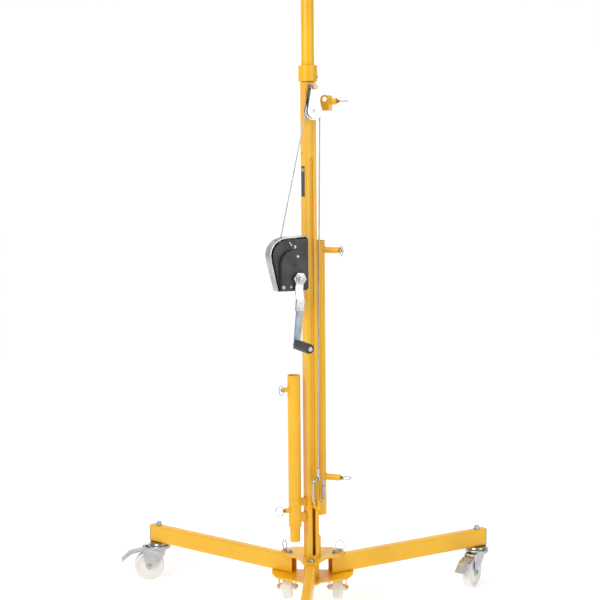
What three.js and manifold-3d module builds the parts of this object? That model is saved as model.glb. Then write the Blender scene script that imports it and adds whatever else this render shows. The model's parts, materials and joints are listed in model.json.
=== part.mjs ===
// Drywall lift: a tripod base on braked castors carries a slotted square mast. A brake winch and
// a cable pull the inner mast up by a lug at its foot, and a tilting cradle rides on the top.
// Millimetres and degrees. +Z is up, the floor is z = 0, the fixed leg points along -Y.

import * as THREE from 'three';
import { mergeVertices } from 'three/addons/utils/BufferGeometryUtils.js';
import Module from 'manifold-3d';

const wasm = await Module();
wasm.setup();

// ---- Driving dimensions ----
const GAP = 0.3; // clearance left between pieces that touch
const PAST = 2; // how far a cutting shape runs past the face it cuts
const PLATE = 6; // hub plate thickness
const TUBE_WALL = 2.5;

const CASTOR_H = 138; // floor to the underside of a leg
const LEG_H = 60;
const LEG_W = 30;
const LEG_REACH = 660; // mast axis to castor axis
const LEG_END = 692;
const SIDE_LEG_START = 70;
const FRONT_LEG_START = 32;
const LEG_BOTTOM = CASTOR_H + GAP;
const LEG_TOP = LEG_BOTTOM + LEG_H;
const TOP_PLATE_Z = LEG_TOP + GAP;
const HUB_TOP = TOP_PLATE_Z + PLATE;
const BOTTOM_PLATE_Z = CASTOR_H - PLATE;
const FRONT_BOLT_R = 44; // places along a leg, from the mast axis
const PIVOT_R = 88;
const LOCK_R = 108;
const TRANSPORT_R = 98;
const BOLT_R = 6;
const BOLT_HOLE_R = 6.3;
const LEGS = [
  { side: 'front', azimuth: 270, start: FRONT_LEG_START, castorHeading: 218 },
  { side: 'right', azimuth: 30, start: SIDE_LEG_START, castorHeading: 241 },
  { side: 'left', azimuth: 150, start: SIDE_LEG_START, castorHeading: 193 },
];

const WHEEL_R = 54;
const WHEEL_HALF_W = 15;
const CASTOR_TRAIL = 38;
const CASTOR_AXLE_R = 5;
const CUP_R = 42;
const CUP_Z = 112;
const CUP_TOP = 129.7;
const CHEEK_IN = 17; // inner face of a fork cheek, from the wheel's mid plane
const CHEEK_OUT = 20;
const BRAKE_PIVOT = [54, 117];

const TRANSPORT_AXLE_Z = 84;
const TRANSPORT_WHEEL_R = 40;

const MAST_YAW = 30; // the slotted face looks along 300 degrees
const MAST_HALF = 20;
const MAST_TOP = 1770;
const SLOT_HALF = 6;
const SLOT_Z = [214, 1529];
const INNER_HALF = 16.5;
const INNER_FOOT = 377;
const LUG_HALF = 4.5;
const LUG_TOP = 412;
const COLLAR_Z = [1772, 1823];
const COLLAR_R = 31;
const ROUND_R = 21.2; // the 42.4 mm round tubes
const UPPER_TOP = 2150;

const CABLE_R = 2.5;
const CABLE_N = 46; // the cable's plane, in front of the mast axis
const PULLEY = { u: -5.6, z: 1678, cable: 24, flange: 29, half: 6.5, axle: 4 };
const HANGER_Z = 1753;
const DRUM = { u: -96, z: 1193, cable: 46.5, barrel: 25, flange: 53, shaft: 6 };
const CRANK = { u: -78, z: 1148, shaft: 5, lean: -5.5, throw: 207, gripPin: 5 };
const GEAR_TEETH = 36;
const PINION_TEETH = 12;
const HOUSING_N = [24, 62];
const SIDE_PLATE_N = [62.3, 65.3];
const COVER_N = [65.6, 79];
const GEAR_N = [68, 75];

const CARABINER = { u: 3, low: 397, high: 481, half: 19, rod: 4, gate: [414, 466] };
const FERRULE_TOP = 517;
const GATE_SWING_GAP = 1.8; // lets the gate's foot turn as it opens

const EXTENSION_U = -60;
const EXTENSION_Z = [413.3, 823];
const SPIGOT_R = 16.85;
const SPIGOT_FOOT = 269;
const SOCKET_Z = [318, 413];
const SIDE_TUBE = { u: 41.5, n: -15, z: [343, 1258] };
const STUB_Z = { upper: 1227, lower: 470 };
const SOCKET_PIN_Z = 375;
const EXTENSION_PIN_Z = 777;
const STUB_ANGLE = -45; // the side tube's stubs point out over the mast's front right corner
const LATCH = { a: 63.4, b: 20.9, z: [1679, 1732], wide: 29, deep: 40, boss: 1709 };

const BEAM_HALF = 420;
const ARM_X = 400;
const ARM_HALF = 380;
const TILT_Z = 2200;
const BEAM_Z = [2225, 2255];

const YELLOW = [0xf2b21e, 0.42, 0.1];
const ZINC = [0xc4c8cc, 0.35, 0.9];
const BLACK = [0x26261f, 0.5, 0.3];
const DARK_GREY = [0x45463f, 0.55, 0.1];
const NYLON = [0xeceae2, 0.5, 0];
const STEEL = [0xb8bcc0, 0.3, 0.9];

// ---- Solids and cuts ----
const radians = THREE.MathUtils.degToRad;

function solid(source) {
  const bare = source.clone();
  bare.deleteAttribute('normal');
  bare.deleteAttribute('uv');
  const merged = mergeVertices(bare, 1e-4);
  const corners = merged.index.array;
  const kept = [];
  for (let i = 0; i < corners.length; i += 3) {
    const [a, b, c] = [corners[i], corners[i + 1], corners[i + 2]];
    if (a !== b && b !== c && c !== a) kept.push(a, b, c);
  }
  const vertProperties = new Float32Array(merged.attributes.position.array);
  const triVerts = new Uint32Array(kept);
  return new wasm.Manifold(new wasm.Mesh({ numProp: 3, vertProperties, triVerts }));
}

function geometry(piece) {
  const mesh = piece.getMesh();
  const result = new THREE.BufferGeometry();
  result.setAttribute('position', new THREE.BufferAttribute(new Float32Array(mesh.vertProperties), 3));
  result.setIndex(new THREE.BufferAttribute(new Uint32Array(mesh.triVerts), 1));
  result.computeVertexNormals();
  return result;
}

function join(...pieces) {
  return pieces.flat().reduce((all, piece) => all.add(piece));
}

function cut(piece, ...tools) {
  return tools.flat().reduce((rest, tool) => rest.subtract(tool), piece);
}

// A block from its low and high limits on each axis.
function block([x0, x1], [y0, y1], [z0, z1]) {
  const shape = new THREE.BoxGeometry(x1 - x0, y1 - y0, z1 - z0);
  return solid(shape.translate((x0 + x1) / 2, (y0 + y1) / 2, (z0 + z1) / 2));
}

// A round rod between two points.
function rod(from, to, radius, sides = 10) {
  const start = new THREE.Vector3(...from);
  const along = new THREE.Vector3(...to).sub(start);
  const shape = new THREE.CylinderGeometry(radius, radius, along.length(), sides);
  const turn = new THREE.Quaternion().setFromUnitVectors(new THREE.Vector3(0, 1, 0), along.clone().normalize());
  shape.applyQuaternion(turn);
  const middle = start.addScaledVector(along, 0.5);
  return solid(shape.translate(middle.x, middle.y, middle.z));
}

function upright(x, y, radius, z0, z1, sides = 12) {
  return rod([x, y, z0], [x, y, z1], radius, sides);
}

// A flat outline in XY, carried from z0 to z1.
function prism(points, z0, z1) {
  const shape = new THREE.Shape(points.map(([x, y]) => new THREE.Vector2(x, y)));
  const body = new THREE.ExtrudeGeometry(shape, { depth: z1 - z0, bevelEnabled: false });
  return solid(body.translate(0, 0, z0));
}

// An outline in XZ, carried along Y from y0 to y1.
function sideways(points, y0, y1) {
  const shape = new THREE.Shape(points.map(([x, z]) => new THREE.Vector2(x, z)));
  const body = new THREE.ExtrudeGeometry(shape, { depth: y1 - y0, bevelEnabled: false });
  body.rotateX(Math.PI / 2);
  return solid(body.translate(0, y1, 0));
}

// A closed profile of [radius, height] points turned round Z.
function turned(profile, sides = 18) {
  const closed = [...profile, profile[0]].map(([r, z]) => new THREE.Vector2(r, z));
  const body = new THREE.LatheGeometry(closed, sides);
  return solid(body.rotateX(Math.PI / 2));
}

function pullRing(x, y, z, faces, radius = 16, wire = 1.6) {
  const body = new THREE.TorusGeometry(radius, wire, 5, 16);
  if (faces === 'x') body.rotateY(Math.PI / 2);
  if (faces === 'y') body.rotateX(Math.PI / 2);
  return solid(body.translate(x, y, z));
}

function arc(cx, cy, radius, fromDeg, toDeg, steps) {
  const points = [];
  for (let i = 0; i <= steps; i += 1) {
    const angle = radians(fromDeg + ((toDeg - fromDeg) * i) / steps);
    points.push([cx + radius * Math.cos(angle), cy + radius * Math.sin(angle)]);
  }
  return points;
}

function polar(radius, degrees) {
  return [radius * Math.cos(radians(degrees)), radius * Math.sin(radians(degrees))];
}

function add(group, name, piece, [color, roughness, metalness]) {
  const material = new THREE.MeshStandardMaterial({ color, roughness, metalness });
  const mesh = new THREE.Mesh(geometry(piece), material);
  mesh.name = name;
  group.add(mesh);
}

function subgroup(parent, { x = 0, y = 0, z = 0, turn = 0 }) {
  const group = new THREE.Group();
  group.position.set(x, y, z);
  group.rotation.z = radians(turn);
  parent.add(group);
  return group;
}

// ---- Hub: two lobed plates that hold the legs, and the mast's foot ----
// A plate outline from the corners of its right half, front to back.
function mirrored(corners) {
  const left = corners.map(([x, y]) => [-x, y]).reverse();
  return [...corners, ...left];
}

const TOP_OUTLINE = mirrored([[24, -63], [36, -28], [56, 0], [91, 8], [110, 56], [98, 82], [60, 100]]);
const BOTTOM_OUTLINE = mirrored([
  [20, -68], [32, -46], [92, -25], [120, -6], [136, 30], [138, 64], [124, 92], [46, 66],
]);

function pivotHoles(radius, z0, z1) {
  return [30, 150].map((azimuth) => upright(...polar(radius, azimuth), BOLT_HOLE_R, z0 - PAST, z1 + PAST));
}

function hubTopPlate() {
  const plate = prism(TOP_OUTLINE, TOP_PLATE_Z, HUB_TOP);
  const foot = MAST_HALF + GAP;
  const mastHole = block([-foot, foot], [-foot, foot], [TOP_PLATE_Z - PAST, HUB_TOP + PAST]);
  const turnedHole = mastHole.rotate([0, 0, MAST_YAW]);
  const frontHole = upright(0, -FRONT_BOLT_R, BOLT_HOLE_R, TOP_PLATE_Z - PAST, HUB_TOP + PAST);
  const holes = [...pivotHoles(PIVOT_R, TOP_PLATE_Z, HUB_TOP), ...pivotHoles(LOCK_R, TOP_PLATE_Z, HUB_TOP)];
  const low = HUB_TOP - 1;
  const flange = sideways([[foot, low], [foot + 13, low], [foot + 13, 270], [foot + 9, 276], [foot, 276]], -3, 3);
  const gussets = [0, 90].map((turn) => flange.rotate([0, 0, MAST_YAW + turn]));
  return join(cut(plate, turnedHole, frontHole, holes), gussets);
}

function hubBottomPlate() {
  const plate = prism(BOTTOM_OUTLINE, BOTTOM_PLATE_Z, CASTOR_H);
  const frontHole = upright(0, -FRONT_BOLT_R, BOLT_HOLE_R, BOTTOM_PLATE_Z - PAST, CASTOR_H + PAST);
  return cut(plate, frontHole, pivotHoles(PIVOT_R, BOTTOM_PLATE_Z, CASTOR_H));
}

function legBolt(low, washerR) {
  const shank = upright(0, 0, BOLT_R, low, HUB_TOP + 5);
  const washer = upright(0, 0, washerR, HUB_TOP + GAP, HUB_TOP + 2.5);
  const head = upright(0, 0, 9.5, HUB_TOP + 2, HUB_TOP + 9, 6);
  return join(shank, washer, head);
}

// ---- Legs: rectangular tubes, open at the hub end and closed at the castor end ----
function leg({ side, start }) {
  const outer = block([start, LEG_END], [-LEG_W / 2, LEG_W / 2], [LEG_BOTTOM, LEG_TOP]);
  const half = LEG_W / 2 - TUBE_WALL;
  const inside = [LEG_BOTTOM + TUBE_WALL, LEG_TOP - TUBE_WALL];
  const hollow = block([start - PAST, LEG_END - 4], [-half, half], inside);
  const through = (x) => upright(x, 0, BOLT_HOLE_R, LEG_BOTTOM - PAST, LEG_TOP + PAST);
  const holes = [through(LEG_REACH), through(side === 'front' ? FRONT_BOLT_R : PIVOT_R)];
  if (side !== 'front') {
    holes.push(upright(LOCK_R, 0, BOLT_HOLE_R, LEG_TOP - TUBE_WALL - PAST, LEG_TOP + PAST));
  }
  return cut(outer, hollow, holes);
}

// The pin that locks a side leg. It is drawn just lifted clear, and drops into the leg's hole.
function lockPin() {
  const shank = upright(0, 0, 5, LEG_TOP + GAP, HUB_TOP + 9);
  const knob = upright(0, 0, 7, HUB_TOP + 5.5, HUB_TOP + 11);
  return join(shank, knob, pullRing(0, 0, HUB_TOP + 21.5, 'x'));
}

// ---- Castors, in their own frame: the swivel axis is Z, the wheel trails along +X ----
function castorStem() {
  const race = upright(0, 0, 36, 130, CASTOR_H, 24);
  const stem = upright(0, 0, BOLT_R, CASTOR_H - 1, LEG_TOP + 6);
  const nut = upright(0, 0, 11, LEG_TOP + GAP, LEG_TOP + 9, 6);
  const dome = new THREE.CylinderGeometry(4, 9, 5, 12).rotateX(Math.PI / 2);
  return join(race, stem, nut, solid(dome.translate(0, 0, LEG_TOP + 11)));
}

function castorFork() {
  const cup = upright(0, 0, CUP_R, CUP_Z, CUP_TOP, 24);
  const axleX = CASTOR_TRAIL;
  const outline = [
    [-24, CUP_Z + 4],
    [-14, 88],
    [axleX - 13, WHEEL_R - 4],
    ...arc(axleX, WHEEL_R, 13, 200, 340, 6),
    [axleX + 17, 92],
    [66, 112],
    [64, 122],
    [40, 124],
  ];
  const cheeks = [
    sideways(outline, CHEEK_IN, CHEEK_OUT),
    sideways(outline, -CHEEK_OUT, -CHEEK_IN),
  ];
  const axle = rod([axleX, -CHEEK_OUT - 5, WHEEL_R], [axleX, CHEEK_OUT + 5, WHEEL_R], CASTOR_AXLE_R, 16);
  const nuts = [-1, 1].map((end) =>
    rod([axleX, end * (CHEEK_OUT - 1), WHEEL_R], [axleX, end * (CHEEK_OUT + 5), WHEEL_R], 8, 6));
  return join(cup, cheeks, axle, nuts);
}

function castorWheel() {
  const w = WHEEL_HALF_W;
  const profile = [
    [CASTOR_AXLE_R + 0.4, -w],
    [WHEEL_R - 5, -w],
    [WHEEL_R, -w + 6],
    [WHEEL_R, w - 6],
    [WHEEL_R - 5, w],
    [CASTOR_AXLE_R + 0.4, w],
  ];
  return turned(profile, 16).rotate([90, 0, 0]);
}

function castorBrake() {
  const [px, pz] = BRAKE_PIVOT;
  const narrow = sideways([[46, 113.5], [68, 109], [69, 113], [46, 118]], -16, 16);
  const pedal = sideways([[67, 109], [104, 101], [136, 74], [139, 78], [107, 105], [68, 113.5]], -21, 21);
  const pin = rod([px, -CHEEK_IN + GAP, pz], [px, CHEEK_IN - GAP, pz], 4, 12);
  return join(narrow, pedal, pin);
}

function addCastor(parent, side, turn) {
  const group = subgroup(parent, { x: LEG_REACH, turn });
  add(group, `castor_${side}_stem`, castorStem(), ZINC);
  add(group, `castor_${side}_fork`, castorFork(), ZINC);
  const wheelGroup = subgroup(group, { x: CASTOR_TRAIL, z: WHEEL_R });
  add(wheelGroup, `castor_${side}_wheel`, castorWheel(), NYLON);
  add(group, `castor_${side}_brake`, castorBrake(), ZINC);
}

// ---- Transport wheels under the hub's side lobes ----
function transportFork() {
  const web = block([-30, 30], [-16, 16], [128, BOTTOM_PLATE_Z - GAP]);
  const sides = [-1, 1].map((end) => block([end * 28.5 - 1.5, end * 28.5 + 1.5], [-16, 16], [72, 131]));
  const axle = rod([-36, 0, TRANSPORT_AXLE_Z], [36, 0, TRANSPORT_AXLE_Z], 4, 12);
  const heads = [-1, 1].map((end) => rod([end * 29, 0, TRANSPORT_AXLE_Z], [end * 36, 0, TRANSPORT_AXLE_Z], 8, 6));
  return join(web, sides, axle, heads);
}

function transportWheel() {
  const r = TRANSPORT_WHEEL_R;
  const profile = [
    [4.4, -26], [11, -26], [11, -16], [r - 3, -16], [r, -12],
    [r, 12], [r - 3, 16], [11, 16], [11, 26], [4.4, 26],
  ];
  return turned(profile, 16).rotate([0, 90, 0]);
}

function buildBase(lift) {
  add(lift, 'hub_top_plate', hubTopPlate(), YELLOW);
  add(lift, 'hub_bottom_plate', hubBottomPlate(), YELLOW);
  for (const each of LEGS) {
    const group = subgroup(lift, { turn: each.azimuth });
    add(group, `${each.side}_leg`, leg(each), YELLOW);
    addCastor(group, each.side, each.castorHeading - each.azimuth);
    if (each.side === 'front') {
      const bolt = subgroup(group, { x: FRONT_BOLT_R });
      const nut = upright(0, 0, 10, BOTTOM_PLATE_Z - 10, BOTTOM_PLATE_Z - GAP, 6);
      add(bolt, 'front_leg_bolt', join(legBolt(BOTTOM_PLATE_Z - 13, 12.5), nut), ZINC);
    } else {
      add(subgroup(group, { x: PIVOT_R }), `${each.side}_leg_pivot`, legBolt(BOTTOM_PLATE_Z + GAP, 12), ZINC);
      add(subgroup(group, { x: LOCK_R, turn: 60 }), `${each.side}_lock_pin`, lockPin(), STEEL);
      const [x, y] = polar(TRANSPORT_R, each.azimuth);
      add(subgroup(lift, { x, y }), `transport_fork_${each.side}`, transportFork(), YELLOW);
      const wheel = subgroup(lift, { x, y, z: TRANSPORT_AXLE_Z });
      add(wheel, `transport_wheel_${each.side}`, transportWheel(), NYLON);
    }
  }
}

// ---- Spring plungers: +X points out along the stub ----
function stub(from, to, radius, z) {
  return rod([from, 0, z], [to, 0, z], radius, 12);
}

function plunger(tip, seat, ringFaces, pinR) {
  const pin = rod([tip, 0, 0], [seat + 9, 0, 0], pinR, 14);
  const head = rod([seat + GAP, 0, 0], [seat + 8, 0, 0], pinR + 2.2, 14);
  const flat = ringFaces === 'x';
  const ring = flat ? pullRing(seat + 8, 0, 2 - pinR, 'x', 16) : pullRing(seat + 8 + 13, 0, 0, ringFaces, 16);
  return join(pin, head, flat ? join(ring, rod([seat + 7, 0, -18], [seat + 9, 0, 0], 2, 8)) : ring);
}

// ---- Mast, in the mast frame: X crosses the slot, -Y looks out of it ----
function mast() {
  const bore = MAST_HALF - TUBE_WALL;
  const outer = block([-MAST_HALF, MAST_HALF], [-MAST_HALF, MAST_HALF], [LEG_BOTTOM, MAST_TOP]);
  const hollow = block([-bore, bore], [-bore, bore], [LEG_BOTTOM - PAST, MAST_TOP + PAST]);
  const slot = block([-SLOT_HALF, SLOT_HALF], [-MAST_HALF - PAST, -bore + PAST], SLOT_Z);
  return cut(outer, hollow, slot);
}

function sideTube() {
  const { z } = SIDE_TUBE;
  const body = upright(0, 0, ROUND_R, ...z, 16);
  const stubs = Object.values(STUB_Z).map((height) => stub(ROUND_R - 4, 71, 10.3, height));
  const bore = upright(0, 0, ROUND_R - TUBE_WALL, z[0] - PAST, z[1] + PAST, 16);
  const pins = Object.values(STUB_Z).map((height) => stub(10, 71 + PAST, 4.4, height));
  return cut(join(body, stubs), bore, pins);
}

function storageSocket() {
  const body = upright(0, 0, ROUND_R, ...SOCKET_Z, 16);
  const reach = -EXTENSION_U - MAST_HALF - GAP;
  const lugs = [[331, 361], [385, 410]].map((span) => block([10, reach], [-7, 7], span));
  const boss = stub(-ROUND_R + 3, -35, 8, SOCKET_PIN_Z);
  const bore = upright(0, 0, SPIGOT_R + 0.35, SOCKET_Z[0] - PAST, SOCKET_Z[1] + PAST, 16);
  return cut(join(body, lugs, boss), bore, stub(-8, -35 - PAST, 3.9, SOCKET_PIN_Z));
}

function extensionTube() {
  const body = upright(0, 0, ROUND_R, ...EXTENSION_Z, 16);
  const spigot = upright(0, 0, SPIGOT_R, SPIGOT_FOOT, EXTENSION_Z[0] + 30, 16);
  const boss = stub(-ROUND_R + 3, -38, 8, EXTENSION_PIN_Z);
  const wide = upright(0, 0, ROUND_R - TUBE_WALL, EXTENSION_Z[0] + 30, EXTENSION_Z[1] + PAST, 16);
  const narrow = upright(0, 0, SPIGOT_R - TUBE_WALL, SPIGOT_FOOT - PAST, EXTENSION_Z[0] + 32, 16);
  const pinHoles = [stub(-8, -20, 3.9, SOCKET_PIN_Z), stub(-8, -38 - PAST, 3.9, EXTENSION_PIN_Z)];
  return cut(join(body, spigot, boss), wide, narrow, pinHoles);
}

function addPlunger(parent, name, { x, y, z, turn }, tip, seat, ringFaces, pinR) {
  add(subgroup(parent, { x, y, z, turn }), name, plunger(tip, seat, ringFaces, pinR), STEEL);
}

function buildTubes(mastFrame) {
  const { u, n } = SIDE_TUBE;
  add(subgroup(mastFrame, { x: u, y: -n, turn: STUB_ANGLE }), 'side_tube', sideTube(), YELLOW);
  const side = { x: u, y: -n, turn: STUB_ANGLE };
  addPlunger(mastFrame, 'side_plunger_upper', { ...side, z: STUB_Z.upper }, 12, 71, 'x', 4);
  addPlunger(mastFrame, 'side_plunger_lower', { ...side, z: STUB_Z.lower }, 12, 71, 'z', 4);
  add(subgroup(mastFrame, { x: EXTENSION_U }), 'storage_socket', storageSocket(), YELLOW);
  add(subgroup(mastFrame, { x: EXTENSION_U }), 'extension_tube', extensionTube(), YELLOW);
  const left = { x: EXTENSION_U, y: 0, turn: 180 };
  addPlunger(mastFrame, 'socket_plunger', { ...left, z: SOCKET_PIN_Z }, 11, 35, 'y', 3.5);
  addPlunger(mastFrame, 'extension_plunger', { ...left, z: EXTENSION_PIN_Z }, 14, 38, 'x', 3.5);
}

// The angle bracket with a spring plunger at the mast head, in a frame turned by STUB_ANGLE.
function latchBracket() {
  const { a, b, z, wide, deep, boss } = LATCH;
  const hole = [a - wide / 2, 1716];
  const front = sideways([[a - wide, z[0]], [a, z[0]], [a, hole[1]], ...arc(...hole, wide / 2, 0, 180, 10)], b, b + 3);
  const eye = rod([hole[0], b - PAST, hole[1]], [hole[0], b + 5, hole[1]], 7.5, 16);
  const wing = block([a - 3, a], [b, b + deep], [z[0], z[1] - 4]);
  const collar = rod([a - 1, b + 22, boss], [a + 20, b + 22, boss], 11, 16);
  const arm = block([MAST_HALF + GAP, 44], [-11, -5], [1686, 1706]).rotate([0, 0, 45]);
  const pinHole = rod([a - 5, b + 22, boss], [a + 20 + PAST, b + 22, boss], 4.4, 16);
  return cut(join(front, wing, collar, arm), eye, pinHole);
}

// ---- Mast head, winch and cable, in the face frame: X along the slotted face, Y up, Z out of it ----
function through(u, z, radius, n0, n1, sides = 12) {
  return upright(u, z, radius, n0, n1, sides);
}

function hangerLug() {
  const { u } = PULLEY;
  const outline = [[u + 12.5, 1767], [u - 12.5, 1767], ...arc(u, HANGER_Z, 12.5, 180, 360, 10)];
  const plate = prism(outline, MAST_HALF + GAP, 27);
  return join(plate, through(u, HANGER_Z, 5, 26, 66), through(u, HANGER_Z, 8.5, 61, 66, 6));
}

function pulleyBlock() {
  const { u, z, axle } = PULLEY;
  const outline = [...arc(u, z, 25, 170, 370, 16), ...arc(u, HANGER_Z, 11, 20, 160, 8)];
  const cheeks = [prism(outline, 34, 37), prism(outline, 55, 58)];
  const spacer = through(u, HANGER_Z, 9, 36, 56);
  const pin = through(u, z, axle, 31, 61, 16);
  const heads = [through(u, z, 7, 31, 35, 6), through(u, z, 7, 57, 61, 6)];
  return join(cut(join(cheeks, spacer), through(u, HANGER_Z, 5.4, 30, 62)), pin, heads);
}

function pulleyWheel() {
  const { half, flange, axle, cable } = PULLEY;
  const root = cable - CABLE_R - GAP;
  const profile = [
    [axle + 0.4, -half], [flange, -half], [flange, -half + 2], [root, -2],
    [root, 2], [flange, half - 2], [flange, half], [axle + 0.4, half],
  ];
  return turned(profile, 32);
}

// The winch's side plate: straight right edge, rounded top left corner, leaning left edge.
function sidePlateOutline() {
  return [
    [-138, 1112],
    [-36, 1112],
    [-36, 1274],
    [-104, 1272],
    [-120, 1270],
    [-134, 1265],
    [-146, 1256],
    [-155, 1243],
    [-160, 1227],
    [-160, 1214],
  ];
}

// The housing behind it stands out past the side plate along the top and the left.
function housingOutline() {
  return [
    [-141, 1107],
    [-36, 1107],
    [-36, 1281],
    [-104, 1280],
    [-124, 1278],
    [-140, 1272],
    [-154, 1261],
    [-164, 1246],
    [-169, 1228],
    [-168, 1212],
  ];
}

function shrink(points, by) {
  const middle = points.reduce(([sx, sy], [x, y]) => [sx + x / points.length, sy + y / points.length], [0, 0]);
  return points.map(([x, y]) => {
    const [dx, dy] = [x - middle[0], y - middle[1]];
    const factor = 1 - by / Math.hypot(dx, dy);
    return [middle[0] + dx * factor, middle[1] + dy * factor];
  });
}

function winchHousing() {
  const shell = prism(housingOutline(), ...HOUSING_N);
  const hollow = prism(shrink(housingOutline(), 4), HOUSING_N[0] + 3, HOUSING_N[1] + PAST);
  const slit = block([-146, -108], [1236, 1290], [CABLE_N - 5, CABLE_N + 5]);
  return cut(shell, hollow, slit);
}

function winchSidePlate() {
  const plate = prism(sidePlateOutline(), ...SIDE_PLATE_N);
  const hole = through(DRUM.u, DRUM.z, DRUM.shaft + 0.4, SIDE_PLATE_N[0] - PAST, SIDE_PLATE_N[1] + PAST);
  return cut(plate, hole);
}

function gearCover() {
  const outline = (inset) => [
    [-136 + inset, 1113 + inset],
    [-46 - inset, 1113 + inset],
    ...arc(-91, 1195, 45 - inset, 0, 180, 14),
  ];
  const shell = prism(outline(0), ...COVER_N);
  const hollow = prism(outline(2), COVER_N[0] - PAST, COVER_N[1] - 2);
  return cut(shell, hollow, through(CRANK.u, CRANK.z, 6.5, 70, 90));
}

function winchMount() {
  const outline = [
    [-120, 1135],
    [-18, 1135],
    [-16, 1218],
    ...arc(-11.5, 1218, 4.4, 190, 360, 7),
    [-7, 1273],
    [-22, 1273],
    [-22, 1245],
    [-120, 1245],
  ];
  return prism(outline, MAST_HALF + GAP, HOUSING_N[0] - GAP);
}

function drum() {
  const { barrel, flange, shaft } = DRUM;
  const profile = [
    [0, 27.5], [shaft, 27.5], [shaft, 31], [flange, 31], [flange, 34], [barrel, 34],
    [barrel, 58], [flange, 58], [flange, 61], [shaft, 61], [shaft, 76], [0, 76],
  ];
  return turned(profile, 16);
}

function cableCoil() {
  const outer = DRUM.cable - CABLE_R - GAP;
  return turned([[DRUM.barrel + GAP, 34.3], [outer, 34.3], [outer, 57.7], [DRUM.barrel + GAP, 57.7]], 16);
}

function gear(teeth, root, tip, [n0, n1]) {
  const points = [];
  for (let i = 0; i < teeth; i += 1) {
    const pitch = 360 / teeth;
    const middle = i * pitch;
    const steps = [[root, -0.32], [tip, -0.14], [tip, 0.14], [root, 0.32]];
    steps.forEach(([radius, part]) => points.push(polar(radius, middle + part * pitch)));
  }
  return prism(points, n0, n1);
}

// An outline of [z, y] points, carried along X from x0 to x1.
function across(points, x0, x1) {
  const shape = new THREE.Shape(points.map(([z, y]) => new THREE.Vector2(z, y)));
  const body = new THREE.ExtrudeGeometry(shape, { depth: x1 - x0, bevelEnabled: false });
  return solid(body.translate(0, 0, -x1).rotateY(-Math.PI / 2));
}

function drumGear() {
  const bore = through(0, 0, DRUM.shaft + GAP, GEAR_N[0] - PAST, GEAR_N[1] + PAST);
  return cut(gear(GEAR_TEETH, 32.5, 35.5, GEAR_N), bore);
}

// The crank hangs from its shaft along -Y; its arm steps out from the winch below the hub.
function crank() {
  const end = -CRANK.throw;
  const arm = across([
    [84, 4], [84, -36], [98, -62], [98, end - 15], [106, end - 15], [106, -58], [92, -32], [92, 4],
  ], -14, 14);
  const shaft = through(0, 0, CRANK.shaft, 66, 90, 16);
  const hub = through(0, 0, 21, 81, 94, 24);
  const nut = through(0, 0, 10, 93, 102, 6);
  const gripPin = through(0, end, CRANK.gripPin, 100, 198);
  const gripHead = through(0, end, 7, 196.5, 200);
  const pinion = gear(PINION_TEETH, 9, 12, GEAR_N);
  return join(arm, shaft, hub, nut, gripPin, gripHead, pinion);
}

function crankGrip() {
  const bore = CRANK.gripPin + 0.4;
  return turned([[bore, 107], [13, 107], [16, 112], [16, 186], [13, 196], [bore, 196]], 24);
}

// Where the straight cable run touches the left sides of the drum and the pulley.
function cableTangent() {
  const [du, dz] = [PULLEY.u - DRUM.u, PULLEY.z - DRUM.z];
  const slope = Math.atan2(dz, du) - Math.asin((DRUM.cable - PULLEY.cable) / Math.hypot(du, dz));
  const left = [-Math.sin(slope), Math.cos(slope)];
  return {
    drum: [DRUM.u + DRUM.cable * left[0], DRUM.z + DRUM.cable * left[1]],
    pulley: [PULLEY.u + PULLEY.cable * left[0], PULLEY.z + PULLEY.cable * left[1]],
    angle: THREE.MathUtils.radToDeg(slope) + 90,
  };
}

// The cable from the drum up to the pulley and over it.
function cableLead() {
  const tangent = cableTangent();
  const run = rod([...tangent.drum, CABLE_N], [...tangent.pulley, CABLE_N], CABLE_R, 8);
  const bend = arc(PULLEY.u, PULLEY.z, PULLEY.cable, tangent.angle, 0, 12);
  const path = new THREE.CatmullRomCurve3(bend.map(([x, y]) => new THREE.Vector3(x, y, CABLE_N)));
  const section = new THREE.Shape(arc(0, 0, CABLE_R, 0, 315, 7).map(([x, y]) => new THREE.Vector2(x, y)));
  const over = solid(new THREE.ExtrudeGeometry(section, { steps: 14, extrudePath: path }));
  return join(run, over);
}

function cableFall() {
  const top = [PULLEY.u + PULLEY.cable, PULLEY.z - GAP, CABLE_N];
  return rod([CARABINER.u, FERRULE_TOP + GAP, CABLE_N], top, CABLE_R, 8);
}

function cableEye() {
  const { u, high } = CARABINER;
  const eye = pullRing(u, high + 1.4, CABLE_N, 'x', 8.2, 2.6);
  return join(eye, rod([u, high + 8, CABLE_N], [u, FERRULE_TOP, CABLE_N], 5, 12));
}

// A loop of round bar, open on its right side between the two ends of the gate.
function carabiner() {
  const { u, low, high, half, rod: barR, gate } = CARABINER;
  const points = [
    [u + half, gate[1]],
    ...arc(u, high - half, half, 15, 165, 5),
    ...arc(u, low + half, half, 195, 345, 5),
    [u + half, gate[0]],
  ];
  const path = new THREE.CatmullRomCurve3(points.map(([x, y]) => new THREE.Vector3(x, y, CABLE_N)));
  const section = new THREE.Shape(arc(0, 0, barR, 0, 315, 7).map(([x, y]) => new THREE.Vector2(x, y)));
  const loop = solid(new THREE.ExtrudeGeometry(section, { steps: 26, extrudePath: path }));
  return cut(loop, block([u + half - 8, u + half + 8], gate, [CABLE_N - 8, CABLE_N + 8]));
}

function carabinerGate() {
  const { u, half, gate } = CARABINER;
  const x = u + half;
  const low = gate[0] + GATE_SWING_GAP;
  const pin = rod([x, low, CABLE_N], [x, gate[1] - GAP, CABLE_N], 3.6, 12);
  return join(pin, rod([x, 424, CABLE_N], [x, 456, CABLE_N], 6.4, 16));
}

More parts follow.
